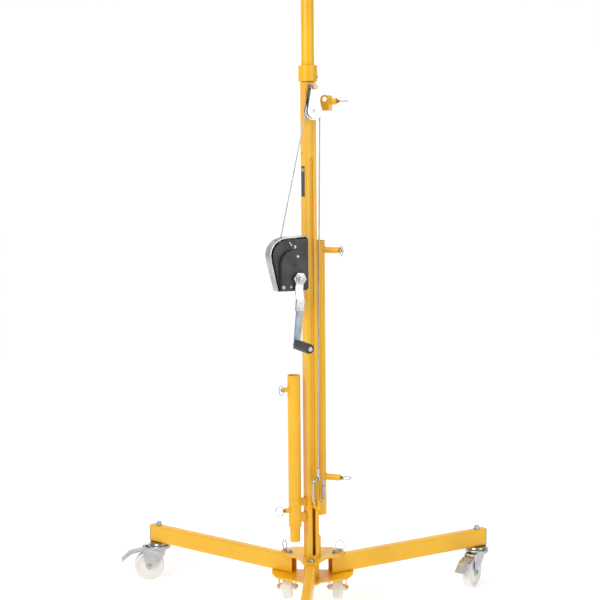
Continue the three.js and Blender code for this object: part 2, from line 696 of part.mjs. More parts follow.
function buildFace(mastFrame) {
  const face = new THREE.Group();
  face.rotation.x = Math.PI / 2;
  mastFrame.add(face);
  add(face, 'pulley_hanger', hangerLug(), YELLOW);
  add(face, 'pulley_block', pulleyBlock(), ZINC);
  const wheel = subgroup(face, { x: PULLEY.u, y: PULLEY.z, z: CABLE_N });
  add(wheel, 'pulley_wheel', pulleyWheel(), STEEL);
  add(face, 'winch_mount', winchMount(), YELLOW);
  add(face, 'winch_housing', winchHousing(), ZINC);
  add(face, 'winch_side_plate', winchSidePlate(), BLACK);
  add(face, 'winch_gear_cover', gearCover(), DARK_GREY);
  const spool = subgroup(face, { x: DRUM.u, y: DRUM.z });
  add(spool, 'winch_drum', drum(), ZINC);
  add(spool, 'cable_coil', cableCoil(), STEEL);
  add(spool, 'drum_gear', drumGear(), STEEL);
  const handle = subgroup(face, { x: CRANK.u, y: CRANK.z, turn: CRANK.lean });
  add(handle, 'crank_handle', crank(), ZINC);
  add(subgroup(handle, { y: -CRANK.throw }), 'crank_grip', crankGrip(), DARK_GREY);
  add(face, 'cable_lead', cableLead(), STEEL);
  add(face, 'cable_fall', cableFall(), STEEL);
  add(face, 'cable_eye', cableEye(), STEEL);
  add(face, 'carabiner', carabiner(), ZINC);
  add(face, 'carabiner_gate', carabinerGate(), ZINC);
}

// ---- Slider: inner mast with its lifting lug, collar and round upper tube ----
function innerMast() {
  const bore = INNER_HALF - TUBE_WALL;
  const top = COLLAR_Z[0] - GAP;
  const body = block([-INNER_HALF, INNER_HALF], [-INNER_HALF, INNER_HALF], [INNER_FOOT, top]);
  const hollow = block([-bore, bore], [-bore, bore], [INNER_FOOT - PAST, top + PAST]);
  const tip = -CABLE_N - 14;
  const lug = block([-LUG_HALF, LUG_HALF], [tip, -bore], [INNER_FOOT, LUG_TOP]);
  const eye = rod([-LUG_HALF - PAST, -CABLE_N, CARABINER.low], [LUG_HALF + PAST, -CABLE_N, CARABINER.low], 7.5);
  return cut(join(cut(body, hollow), lug), eye);
}

function collar() {
  const seat = COLLAR_Z[0] + 5;
  const body = upright(0, 0, COLLAR_R, ...COLLAR_Z, 28);
  const bore = upright(0, 0, ROUND_R + GAP, seat, COLLAR_Z[1] + PAST, 24);
  const screw = rod([COLLAR_R - 3, 0, 1788], [COLLAR_R + 3, 0, 1788], 4, 6).rotate([0, 0, STUB_ANGLE]);
  return join(cut(body, bore), screw);
}

function upperTube() {
  const foot = COLLAR_Z[0] + 5 + GAP;
  const body = upright(0, 0, ROUND_R, foot, UPPER_TOP, 24);
  return cut(body, upright(0, 0, ROUND_R - TUBE_WALL, foot - PAST, UPPER_TOP + PAST, 24));
}

// ---- Cradle: a swivel head, a tilting beam and two folding cross arms ----
function cradleHead() {
  const cap = upright(0, 0, 27, 2105, 2160, 24);
  const bore = upright(0, 0, ROUND_R + 0.6, 2105 - PAST, UPPER_TOP + GAP, 24);
  const ears = [-1, 1].map((end) => block([end * 21 - 3, end * 21 + 3], [-15, 15], [2155, TILT_Z + 12]));
  const pin = rod([-32, 0, TILT_Z], [32, 0, TILT_Z], BOLT_R);
  const heads = [[-32, -23.5], [23.5, 32]].map(([x0, x1]) => rod([x0, 0, TILT_Z], [x1, 0, TILT_Z], 10, 6));
  return join(cut(cap, bore), ears, pin, heads);
}

function cradleBeam() {
  const beam = block([-BEAM_HALF, BEAM_HALF], [-20, 20], BEAM_Z);
  const inner = [BEAM_Z[0] + TUBE_WALL, BEAM_Z[1] - TUBE_WALL];
  const ends = [[-BEAM_HALF - PAST, -24], [24, BEAM_HALF + PAST]];
  const hollows = ends.map((span) => block(span, [TUBE_WALL - 20, 20 - TUBE_WALL], inner));
  const saddle = block([-17.4, 17.4], [-13, 13], [TILT_Z - 11, BEAM_Z[0] + 1]);
  const bore = rod([-20, 0, TILT_Z], [20, 0, TILT_Z], BOLT_HOLE_R, 16);
  const pins = [-ARM_X, ARM_X].map((x) => upright(x, 0, BOLT_HOLE_R, BEAM_Z[0] - PAST, BEAM_Z[1] + PAST));
  return cut(join(cut(beam, hollows), saddle), bore, pins);
}

function cradleArm() {
  const [low, high] = [BEAM_Z[1] + GAP, BEAM_Z[1] + GAP + 25];
  const bar = block([-15, 15], [-ARM_HALF, ARM_HALF], [low, high]);
  const ends = [[-ARM_HALF - PAST, -12], [12, ARM_HALF + PAST]];
  const inner = [low + TUBE_WALL, high - TUBE_WALL];
  const hollows = ends.map((span) => block([TUBE_WALL - 15, 15 - TUBE_WALL], span, inner));
  const hook = block([-15, 15], [-ARM_HALF, 6 - ARM_HALF], [high - 1, high + 45]);
  const pin = upright(0, 0, BOLT_R, BEAM_Z[0] - 8, low + 2);
  const nut = upright(0, 0, 10, BEAM_Z[0] - 10, BEAM_Z[0] - GAP, 6);
  return join(cut(bar, hollows), hook, pin, nut);
}

function buildSlider(lift, mastFrame) {
  add(mastFrame, 'inner_mast', innerMast(), YELLOW);
  add(mastFrame, 'mast_collar', collar(), YELLOW);
  add(mastFrame, 'upper_tube', upperTube(), YELLOW);
  add(lift, 'cradle_head', cradleHead(), YELLOW);
  add(lift, 'cradle_beam', cradleBeam(), YELLOW);
  add(subgroup(lift, { x: ARM_X }), 'cradle_arm_right', cradleArm(), YELLOW);
  add(subgroup(lift, { x: -ARM_X }), 'cradle_arm_left', cradleArm(), YELLOW);
}

const lift = new THREE.Group();
buildBase(lift);
const mastFrame = subgroup(lift, { turn: MAST_YAW });
add(mastFrame, 'mast', mast(), YELLOW);
const latchFrame = subgroup(mastFrame, { turn: STUB_ANGLE });
add(latchFrame, 'latch_bracket', latchBracket(), YELLOW);
addPlunger(latchFrame, 'latch_plunger', { x: LATCH.a, y: LATCH.b + 22, z: LATCH.boss, turn: 0 }, -12, 20, 'z', 4);
buildTubes(mastFrame);
buildFace(mastFrame);
buildSlider(lift, mastFrame);

// The origin is on the floor, at the middle of the whole lift's footprint.
lift.updateMatrixWorld(true);
const middle = new THREE.Box3().setFromObject(lift, true).getCenter(new THREE.Vector3());
lift.position.set(-middle.x, -middle.y, 0);

export default lift;
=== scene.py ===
import json
import math

import bmesh
import bpy
from mathutils import Matrix, Vector


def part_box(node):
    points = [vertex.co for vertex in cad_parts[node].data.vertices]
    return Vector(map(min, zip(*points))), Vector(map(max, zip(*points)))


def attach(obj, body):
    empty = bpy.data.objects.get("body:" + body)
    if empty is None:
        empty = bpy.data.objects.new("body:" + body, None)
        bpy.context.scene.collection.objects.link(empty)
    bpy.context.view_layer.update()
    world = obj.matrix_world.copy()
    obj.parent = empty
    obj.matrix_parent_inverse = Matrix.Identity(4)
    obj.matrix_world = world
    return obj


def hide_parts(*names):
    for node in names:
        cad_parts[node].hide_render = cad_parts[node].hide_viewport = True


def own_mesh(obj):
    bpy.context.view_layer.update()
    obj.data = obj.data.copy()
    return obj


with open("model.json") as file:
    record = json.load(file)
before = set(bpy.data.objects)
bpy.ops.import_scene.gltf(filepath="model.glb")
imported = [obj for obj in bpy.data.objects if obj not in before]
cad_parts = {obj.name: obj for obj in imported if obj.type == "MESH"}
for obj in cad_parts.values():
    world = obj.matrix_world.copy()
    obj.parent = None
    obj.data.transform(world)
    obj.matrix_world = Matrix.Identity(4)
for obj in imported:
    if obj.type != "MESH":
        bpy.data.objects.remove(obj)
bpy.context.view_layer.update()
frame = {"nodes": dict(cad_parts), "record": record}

MM = 0.001
GAP = 0.3
LEG_AXIS_Z = 168.3
LEG_REACH = 660
LEG_END = 692
LEG_HALF_W = 15
LEG_HALF_H = 30
TUBE_WALL = 2.5
PLUG_DEPTH = 3
HUB_TOP = 204.6
PIVOT_R = 88
LOCK_R = 108
FRONT_BOLT_R = 44
TRANSPORT_R = 98
TRANSPORT_AXLE_Z = 84
WHEEL_R = 54
CASTOR_TRAIL = 38
MAST_HALF = 20
MAST_Z = (138.3, 1770)
SLOT_HALF_W = 6
SLOT_Z = (214, 1529)
ROUND_R = 21.2
UPPER_TUBE_Z = (1777.3, 2150)
SIDE_TUBE_Z = (343, 1258)
SIDE_PIN_Z = {"upper": 1227, "lower": 470}
SIDE_STUB_END = 71
SPIGOT_R = 16.85
SPIGOT_Z = (269, 440)
SOCKET_Z = (318, 413)
SOCKET_PIN_Z = 375
SOCKET_STUB_END = 35
EXTENSION_Z = (413.3, 823)
EXTENSION_PIN_Z = 777
EXTENSION_STUB_END = 38
STUB_START = 19
PULL_RING_R = 16
LATCH_PIN = (63.4, 42.9, 1709)
CABLE_R = 2.5
CABLE_N = 46  # out from the mast axis, as are the other N values
CABLE_TWIST = 0.42  # radians the strands turn by from one section to the next
CABLE_EYE_TOP = 517.3
CABLE_FALL_TOP = 1677.7
COIL_R = 41.2
DRUM_PATH_R = 46.5
SHEAVE_PATH_R = 24
PULLEY = (-5.6, 1678)
HANGER_Z = 1753
DRUM = (-96, 1193)
GEAR_COVER_N = 79
SIDE_PLATE_N = 65.3
PINION_TEETH = 12
CRANK = (-78, 1148)
CRANK_THROW = 207
CRANK_LEAN = -5.5
CRANK_GRIP_N = 107
CARABINER_U = 3
CARABINER_HALF_W = 19
CARABINER_Z = (397, 481)
LEGS = {
    "front": {"azimuth": 270, "heading": 218, "start": 32, "body": "base"},
    "right": {"azimuth": 30, "heading": 241, "start": 70, "body": "right_leg"},
    "left": {"azimuth": 150, "heading": 193, "start": 70, "body": "left_leg"},
}


def turn(degrees, axis="Z"):
    return Matrix.Rotation(math.radians(degrees), 4, axis)


def shift(x=0, y=0, z=0):
    return Matrix.Translation((x, y, z))


def mast_axis():
    low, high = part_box("mast")
    middle = (low + high) / 2
    return Vector((middle.x, middle.y, 0))


AXIS = mast_axis()
ROW = Matrix.Translation(AXIS) @ Matrix.Scale(MM, 4)  # millimetres about the mast axis
MAST = ROW @ turn(30)  # X crosses the slot, -Y looks out of it
FACE = MAST @ turn(90, "X")  # X crosses the slot, Y is up, Z looks out of it
LATCH = MAST @ turn(-45)
SIDE = MAST @ shift(41.5, 15) @ turn(-45)
EXTENSION = MAST @ shift(-60)


def leg_frame(side):
    return ROW @ turn(LEGS[side]["azimuth"])


def castor_frame(side):
    return leg_frame(side) @ shift(LEG_REACH) @ turn(LEGS[side]["heading"] - LEGS[side]["azimuth"])


# ---- Camera ----
CAMERA_AZIMUTH = 273.258
CAMERA_DISTANCE = 3.942
CAMERA_HEIGHT = 1.603
CAMERA_YAW = 0.432
CAMERA_PITCH = 5.225
CAMERA_ROLL = -0.497
FOCAL = 73.13
SHIFT_Y = -0.09


def make_camera():
    data = bpy.data.cameras.new("camera")
    data.sensor_width = 36
    data.lens = FOCAL
    data.shift_y = SHIFT_Y
    camera = bpy.data.objects.new("camera", data)
    bpy.context.scene.collection.objects.link(camera)
    azimuth = math.radians(CAMERA_AZIMUTH)
    yaw = azimuth + math.pi + math.radians(CAMERA_YAW)
    pitch = math.radians(CAMERA_PITCH)
    roll = math.radians(CAMERA_ROLL)
    forward = Vector((math.cos(yaw) * math.cos(pitch), math.sin(yaw) * math.cos(pitch), -math.sin(pitch)))
    level = Vector((math.sin(yaw), -math.cos(yaw), 0))
    rise = level.cross(forward)
    right = level * math.cos(roll) + rise * math.sin(roll)
    up = rise * math.cos(roll) - level * math.sin(roll)
    turned = Matrix((right, up, -forward)).transposed().to_4x4()
    place = AXIS + CAMERA_DISTANCE * Vector((math.cos(azimuth), math.sin(azimuth), 0))
    camera.matrix_world = Matrix.Translation((place.x, place.y, CAMERA_HEIGHT)) @ turned
    bpy.context.scene.camera = camera


make_camera()


# ---- Materials ----
class Nodes:
    """A material's node tree, with its shader and a coordinate in metres."""

    def __init__(self, name):
        self.material = bpy.data.materials.new(name)
        self.material.use_nodes = True
        self.tree = self.material.node_tree
        self.shader = self.tree.nodes["Principled BSDF"]
        self.place = self.tree.nodes.new("ShaderNodeTexCoord").outputs["Object"]

    def link(self, source, target):
        self.tree.links.new(source, target)

    def noise(self, scale, detail=3.0, roughness=0.5, stretch=None):
        node = self.tree.nodes.new("ShaderNodeTexNoise")
        node.inputs["Scale"].default_value = scale
        node.inputs["Detail"].default_value = detail
        node.inputs["Roughness"].default_value = roughness
        if stretch:
            mapping = self.tree.nodes.new("ShaderNodeMapping")
            mapping.inputs["Scale"].default_value = stretch
            self.link(self.place, mapping.inputs["Vector"])
            self.link(mapping.outputs["Vector"], node.inputs["Vector"])
        else:
            self.link(self.place, node.inputs["Vector"])
        return node.outputs["Fac"]

    def ramp(self, source, stops):
        node = self.tree.nodes.new("ShaderNodeValToRGB")
        elements = node.color_ramp.elements
        for i, (at, colour) in enumerate(stops):
            element = elements[i] if i < 2 else elements.new(at)
            element.position = at
            element.color = (*colour, 1)
        self.link(source, node.inputs["Fac"])
        return node.outputs["Color"]

    def spread(self, source, low, high):
        node = self.tree.nodes.new("ShaderNodeMapRange")
        node.inputs["To Min"].default_value = low
        node.inputs["To Max"].default_value = high
        self.link(source, node.inputs["Value"])
        return node.outputs["Result"]

    def mix(self, amount, source, colour):
        """Goes from the source's colour to a fixed one."""
        node = self.tree.nodes.new("ShaderNodeMix")
        node.data_type = "RGBA"
        self.link(amount, node.inputs[0])
        self.link(source, node.inputs[6])
        node.inputs[7].default_value = (*colour, 1)
        return node.outputs[2]

    def bump(self, source, strength, distance, under=None):
        node = self.tree.nodes.new("ShaderNodeBump")
        node.inputs["Strength"].default_value = strength
        node.inputs["Distance"].default_value = distance
        self.link(source, node.inputs["Height"])
        if under:
            self.link(under, node.inputs["Normal"])
        return node.outputs["Normal"]

    def done(self, colour, roughness, normal, **fixed):
        self.link(colour, self.shader.inputs["Base Color"])
        self.link(roughness, self.shader.inputs["Roughness"])
        self.link(normal, self.shader.inputs["Normal"])
        for name, value in fixed.items():
            self.shader.inputs[name.replace("_", " ")].default_value = value
        return self.material


def powder_coat():
    n = Nodes("yellow_powder_coat")
    cloud = n.noise(5.0, 4)
    paint = [(0.3, (0.84, 0.43, 0.003)), (0.5, (0.90, 0.48, 0.004)), (0.72, (0.93, 0.52, 0.006))]
    base = n.ramp(cloud, paint)
    grime = n.ramp(n.noise(38.0, 6, 0.7), [(0.60, (0, 0, 0)), (0.78, (1, 1, 1))])
    dusty = n.mix(n.spread(grime, 0.0, 0.35), base, (0.45, 0.21, 0.03))
    chips = n.ramp(n.noise(260.0, 2), [(0.73, (0, 0, 0)), (0.76, (1, 1, 1))])
    colour = n.mix(n.spread(chips, 0.0, 0.45), dusty, (0.30, 0.15, 0.05))
    roughness = n.spread(n.noise(60.0, 4), 0.27, 0.42)
    peel = n.bump(n.noise(850.0, 2), 0.16, 0.0004)
    normal = n.bump(n.noise(90.0, 3), 0.10, 0.0008, peel)
    return n.done(colour, roughness, normal, Coat_Weight=0.22, Coat_Roughness=0.18)


def plated(name, low, high, roughness, grain=(1, 1, 1), strength=0.12):
    n = Nodes(name)
    colour = n.ramp(n.noise(24.0, 4, 0.6), [(0.32, low), (0.68, high)])
    stains = n.ramp(n.noise(75.0, 5, 0.65), [(0.58, (0, 0, 0)), (0.80, (1, 1, 1))])
    worn = n.mix(n.spread(stains, 0.0, 0.3), colour, (0.35, 0.34, 0.30))
    rough = n.spread(n.noise(110.0, 3), roughness - 0.07, roughness + 0.10)
    normal = n.bump(n.noise(700.0, 2, 0.5, grain), strength, 0.0003)
    return n.done(worn, rough, normal, Metallic=1.0)


def satin(name, low, high, roughness, bump, scale=420.0):
    n = Nodes(name)
    colour = n.ramp(n.noise(30.0, 4), [(0.35, low), (0.7, high)])
    rough = n.spread(n.noise(90.0, 4), roughness - 0.08, roughness + 0.10)
    normal = n.bump(n.noise(scale, 3), bump, 0.0005)
    return n.done(colour, rough, normal)


def moulded_nylon():
    n = Nodes("white_nylon")
    colour = n.ramp(n.noise(16.0, 4), [(0.35, (0.80, 0.79, 0.75)), (0.7, (0.88, 0.875, 0.85))])
    scuffs = n.ramp(n.noise(60.0, 6, 0.75), [(0.60, (0, 0, 0)), (0.75, (1, 1, 1))])
    dusty = n.mix(n.spread(scuffs, 0.0, 0.18), colour, (0.42, 0.40, 0.36))
    rough = n.spread(n.noise(120.0, 3), 0.36, 0.52)
    normal = n.bump(n.noise(500.0, 2), 0.10, 0.0004)
    return n.done(dusty, rough, normal, Subsurface_Weight=0.08, Subsurface_Scale=0.006)


def bead_metal():
    """Powder coat over a rippled weld bead."""
    n = Nodes("yellow_weld")
    colour = n.ramp(n.noise(140.0, 3), [(0.35, (0.78, 0.35, 0.008)), (0.7, (0.90, 0.46, 0.02))])
    rough = n.spread(n.noise(120.0, 3), 0.30, 0.45)
    normal = n.bump(n.noise(380.0, 4), 0.5, 0.0012)
    return n.done(colour, rough, normal, Coat_Weight=0.3, Coat_Roughness=0.2)


YELLOW = powder_coat()
WELD = bead_metal()
ZINC = plated("zinc_plate", (0.36, 0.38, 0.41), (0.60, 0.60, 0.57), 0.25)
STEEL = plated("bright_steel", (0.40, 0.41, 0.43), (0.58, 0.59, 0.60), 0.22)
ROPE = plated("wire_rope", (0.44, 0.45, 0.46), (0.62, 0.62, 0.62), 0.35, grain=(1, 1, 0.4), strength=0.3)
BLUED = plated("blue_zinc", (0.20, 0.24, 0.30), (0.42, 0.47, 0.52), 0.28)
# The plunger pins' yellow coat, painted darker and browner than the paint: painted shade, not ageing.
PAINTED_SHADE_PIN = satin("painted_shade_pin", (0.30, 0.16, 0.015), (0.48, 0.25, 0.02), 0.38, 0.1)
BLACK = satin("black_satin", (0.020, 0.020, 0.018), (0.045, 0.045, 0.040), 0.38, 0.12)
COVER = satin("dark_cover", (0.030, 0.031, 0.028), (0.060, 0.060, 0.054), 0.46, 0.3, 600.0)
GRIP = satin("grip_plastic", (0.022, 0.023, 0.024), (0.050, 0.050, 0.050), 0.40, 0.35, 520.0)
NYLON = moulded_nylon()
LABEL = satin("label_film", (0.030, 0.026, 0.020), (0.055, 0.048, 0.035), 0.30, 0.05)
LABEL_EDGE = satin("label_band", (0.30, 0.27, 0.20), (0.40, 0.37, 0.28), 0.35, 0.05)


# ---- Meshes ----
def rounded(points, radius, steps=3, closed=True):
    """An outline with each corner turned into a small curve. Points on the axis of a lathe stay."""
    count = len(points)
    out = []
    for i, point in enumerate(points):
        here = Vector(point)
        if not closed and i in (0, count - 1):
            out.append(tuple(here))
            continue
        before = Vector(points[i - 1]) - here
        after = Vector(points[(i + 1) % count]) - here
        reach = min(radius, before.length * 0.45, after.length * 0.45)
        start = here + before.normalized() * reach
        end = here + after.normalized() * reach
        for k in range(steps + 1):
            t = k / steps
            out.append(tuple((1 - t) ** 2 * start + 2 * t * (1 - t) * here + t * t * end))
    return out


def arc(cx, cy, radius, start, end, steps=12):
    angles = [math.radians(start + (end - start) * i / steps) for i in range(steps + 1)]
    return [(cx + radius * math.cos(a), cy + radius * math.sin(a)) for a in angles]


def lathe(profile, sides=64):
    """A closed profile of (radius, height) turned round Z."""
    bm = bmesh.new()
    rings = []
    for radius, height in profile:
        if radius < 1e-4:
            rings.append([bm.verts.new((0, 0, height))])
            continue
        ring = arc(0, 0, radius, 0, 360 * (sides - 1) / sides, sides - 1)
        rings.append([bm.verts.new((x, y, height)) for x, y in ring])
    for a, b in zip(rings, rings[1:] + rings[:1]):
        for i in range(sides):
            j = (i + 1) % sides
            corners = [a[i % len(a)], a[j % len(a)], b[j % len(b)], b[i % len(b)]]
            face = list(dict.fromkeys(corners))
            if len(face) > 2:
                bm.faces.new(face)
    bmesh.ops.recalc_face_normals(bm, faces=bm.faces)
    return bm


def soften(bm, edge, corner=50, segments=2):
    """Rounds the edges that turn by more than corner degrees."""
    sharp = [e for e in bm.edges if len(e.link_faces) == 2 and e.calc_face_angle() > math.radians(corner)]
    if sharp and edge:
        bmesh.ops.bevel(
            bm, geom=sharp, offset=edge, segments=segments, profile=0.6, affect="EDGES", clamp_overlap=True
        )
    return bm


def prism(outline, z0, z1, edge=0.8, corner=50):
    bm = bmesh.new()
    low = [bm.verts.new((x, y, z0)) for x, y in outline]
    high = [bm.verts.new((x, y, z1)) for x, y in outline]
    bm.faces.new(low[::-1])
    bm.faces.new(high)
    for i in range(len(outline)):
        j = (i + 1) % len(outline)
        bm.faces.new((low[i], low[j], high[j], high[i]))
    bmesh.ops.recalc_face_normals(bm, faces=bm.faces)
    return soften(bm, edge, corner)


def block(x, y, z, edge=0.8):
    return prism([(x[0], y[0]), (x[1], y[0]), (x[1], y[1]), (x[0], y[1])], z[0], z[1], edge)


def moved(bm, *matrices):
    for matrix in matrices:
        bmesh.ops.transform(bm, matrix=matrix, verts=bm.verts)
    return bm


def join(*shapes):
    whole = bmesh.new()
    for bm in shapes:
        mesh = bpy.data.meshes.new("part")
        bm.to_mesh(mesh)
        whole.from_mesh(mesh)
        bm.free()
        bpy.data.meshes.remove(mesh)
    return whole


def hollow_bar(outer, inner, z0, z1):
    """A tube of any section, open at both ends, along Z."""
    bm = bmesh.new()
    loops = []
    for outline, z in ((outer, z0), (outer, z1), (inner, z1), (inner, z0)):
        loops.append([bm.verts.new((x, y, z)) for x, y in outline])
    for a, b in zip(loops, loops[1:] + loops[:1]):
        for i in range(len(a)):
            j = (i + 1) % len(a)
            bm.faces.new((a[i], a[j], b[j], b[i]))
    bmesh.ops.recalc_face_normals(bm, faces=bm.faces)
    return bm


def box_section(half_x, half_y, radius):
    corners = [(-half_x, -half_y), (half_x, -half_y), (half_x, half_y), (-half_x, half_y)]
    return rounded(corners, radius, 5)


def tube(radius, wall, z0, z1, sides=64):
    """A round tube with lightly rounded rims."""
    profile = [(radius, z0), (radius, z1), (radius - wall, z1), (radius - wall, z0)]
    return lathe(rounded(profile, 0.7, 2), sides)


def rod(radius, z0, z1, edge=0.8, sides=32):
    """A solid bar along Z."""
    profile = rounded([(0, z0), (radius, z0), (radius, z1), (0, z1)], edge, 2, closed=False)
    return lathe(profile, sides)


def sweep(points, radius, sides=12, closed=False, section=None, twist=0.0):
    """A bar of round or given section along a line of points."""
    line = [Vector(p) for p in points]
    count = len(line)
    bm = bmesh.new()
    rings = []
    normal = None
    for i, point in enumerate(line):
        if closed:
            along = (line[(i + 1) % count] - line[i - 1]).normalized()
        else:
            along = (line[min(i + 1, count - 1)] - line[max(i - 1, 0)]).normalized()
        if normal is None:
            normal = along.orthogonal().normalized()
        normal = (normal - along * normal.dot(along)).normalized()
        other = along.cross(normal)
        ring = []
        for k in range(sides):
            angle = 2 * math.pi * k / sides
            reach = radius * (section(angle) if section else 1)
            spun = angle + twist * i
            ring.append(bm.verts.new(point + reach * (math.cos(spun) * normal + math.sin(spun) * other)))
        rings.append(ring)
    pairs = list(zip(rings, rings[1:]))
    if closed:
        pairs.append((rings[-1], rings[0]))
    for a, b in pairs:
        for k in range(sides):
            m = (k + 1) % sides
            bm.faces.new((a[k], a[m], b[m], b[k]))
    if not closed:
        bm.faces.new(rings[0][::-1])
        bm.faces.new(rings[-1])
    bmesh.ops.recalc_face_normals(bm, faces=bm.faces)
    return bm


def circle(radius, count=40):
    return [(radius * math.cos(2 * math.pi * i / count), radius * math.sin(2 * math.pi * i / count), 0)
            for i in range(count)]


def hexagon(radius, z0, z1):
    """A nut or bolt head with chamfered corners."""
    bm = prism(arc(0, 0, radius, 0, 300, 5), z0, z1, 0)
    for vertex in bm.verts:
        if abs(vertex.co.z - z1) < 1e-6:
            vertex.co.x *= 0.97
            vertex.co.y *= 0.97
    return soften(bm, min(1.1, (z1 - z0) * 0.25), 30)


def nyloc(radius, z0, z1, thread):
    """A lock nut: hexagon, domed collar and the bolt's end in it."""
    body = hexagon(radius, z0, z0 + (z1 - z0) * 0.68)
    collar = lathe(rounded([(0, z0), (radius * 0.8, z0), (radius * 0.78, z1), (thread + 0.6, z1),
                            (thread + 0.6, z1 - 1.5), (0, z1 - 1.5)], 1.0, 3, closed=False), 32)
    end = rod(thread, z0, z1 + 1.2, 0.8, 24)
    return join(body, collar, end)


def weld(points, radius):
    """A rippled bead along a closed line."""
    return sweep(points, radius, 10, closed=True)


def saddle(tube_radius, stub_radius, height, side=1, count=48):
    """Where a stub along X meets a round tube along Z."""
    points = []
    for i in range(count):
        a = 2 * math.pi * i / count
        y = stub_radius * math.cos(a)
        x = math.sqrt(tube_radius ** 2 - y * y)
        ripple = 1 + 0.03 * math.sin(9 * a)
        points.append((side * x, y * ripple, height + stub_radius * math.sin(a) * ripple))
    return points


def rectangle_bead(x0, x1, y0, y1, z, radius):
    """A bead round a rectangular foot."""
    outline = rounded([(x0, y0), (x1, y0), (x1, y1), (x0, y1)], 3, 4)
    return sweep([(x, y, z) for x, y in outline], radius, 8, closed=True)


def piece(name, bm, matrix, body, material, replaces=(), smooth=35):
    """One finished object in metres, riding on its body."""
    if matrix:
        moved(bm, matrix)
    mesh = bpy.data.meshes.new(name)
    bm.to_mesh(mesh)
    bm.free()
    mesh.shade_smooth()
    mesh.set_sharp_from_angle(angle=math.radians(smooth))
    obj = bpy.data.objects.new(name, mesh)
    bpy.context.scene.collection.objects.link(obj)
    mesh.materials.append(material)
    even = obj.modifiers.new("even_normals", "WEIGHTED_NORMAL")
    even.keep_sharp = True
    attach(obj, body)
    if replaces:
        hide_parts(*([replaces] if isinstance(replaces, str) else replaces))
    return obj


BODY_OF = {n: body for body, members in frame["record"]["behaviour"]["bodies"].items() for n in members}
SLOT_OF = {s["node"]: s["material_slot"] for s in frame["record"]["subparts"]}


def refine(node, material, edge=0.8, corner=50, smooth=40):
    """A CAD node's own shape with its edges rounded and its round faces smooth."""
    bm = bmesh.new()
    bm.from_mesh(frame["nodes"][node].data)
    bmesh.ops.remove_doubles(bm, verts=bm.verts, dist=1e-5)
    bmesh.ops.dissolve_limit(bm, angle_limit=math.radians(1), verts=bm.verts, edges=bm.edges)
    soften(bm, edge * MM, corner)
    return piece(node + "_shaped", bm, None, BODY_OF[node], material, node, smooth)


# ---- Base ----
def build_legs():
    for side, leg in LEGS.items():
        outer = box_section(LEG_HALF_W, LEG_HALF_H, 6)
        inner = box_section(LEG_HALF_W - TUBE_WALL, LEG_HALF_H - TUBE_WALL, 4)
        lie = shift(0, 0, LEG_AXIS_Z) @ turn(90, "Y") @ turn(90)
        place = leg_frame(side) @ lie
        bar = hollow_bar(outer, inner, leg["start"], LEG_END - PLUG_DEPTH)
        piece(f"{side}_leg_tube", bar, place, leg["body"], YELLOW, f"{side}_leg")
        section = box_section(LEG_HALF_W - 0.2, LEG_HALF_H - 0.2, 5.5)
        plug = prism(section, LEG_END - PLUG_DEPTH, LEG_END, 1.0)
        piece(f"{side}_leg_plug", plug, place, leg["body"], COVER)


def build_hub():
    refine("hub_top_plate", YELLOW, 1.0)
    refine("hub_bottom_plate", YELLOW, 1.0)
    foot = MAST_HALF + 0.8
    bead = rectangle_bead(-foot, foot, -foot, foot, HUB_TOP + 0.8, 2.2)
    piece("mast_foot_weld", bead, MAST, "base", WELD)
    for side in LEGS:
        place = leg_frame(side)
        if side == "front":
            bolt = join(
                rod(6, 119, HUB_TOP + 5),
                rod(12.5, HUB_TOP + GAP, HUB_TOP + 2.5),
                nyloc(10, HUB_TOP + 2.4, HUB_TOP + 8, 5),
                hexagon(10, 122, 131.7),
            )
            at = place @ shift(FRONT_BOLT_R)
            piece("front_leg_fastening", bolt, at, "base", ZINC, "front_leg_bolt")
            continue
        bolt = join(
            rod(6, 132.3, HUB_TOP + 5),
            rod(12, HUB_TOP + GAP, HUB_TOP + 2.5),
            nyloc(9.5, HUB_TOP + 2.4, HUB_TOP + 8, 5),
        )
        at = place @ shift(PIVOT_R)
        piece(f"{side}_leg_hinge_bolt", bolt, at, "base", ZINC, f"{side}_leg_pivot")
        knob = rounded([(0, 210.2), (7, 210.2), (7, 213.5), (5, 215.6), (0, 215.6)], 1.0, 3, closed=False)
        pin = join(rod(5, 198.6, HUB_TOP + 9, 1.0), lathe(knob, 32))
        ring = split_ring(PULL_RING_R)
        moved(ring, turn(90, "Y"), shift(0, 0, HUB_TOP + 21.5))
        piece(
            f"{side}_lock_plunger", join(pin, ring), place @ shift(LOCK_R) @ turn(60),
            f"{side}_lock_pin", STEEL, f"{side}_lock_pin",
        )
        low, high = HUB_TOP + 0.2, 206.7
        sleeve = rounded([(5.4, low), (9.5, low), (9.5, high), (5.4, high)], 0.6, 2)
        piece(f"{side}_lock_sleeve", lathe(sleeve, 32), place @ shift(LOCK_R), "base", YELLOW)


def split_ring(radius, wire=1.6):
    """A two turn key ring in XY."""
    turns = []
    for i in range(96):
        a = 4 * math.pi * i / 96
        lift = wire * 0.52 * math.tanh((i - 48) / 5)
        turns.append((radius * math.cos(a), radius * math.sin(a), lift))
    return sweep(turns, wire * 0.56, 8)


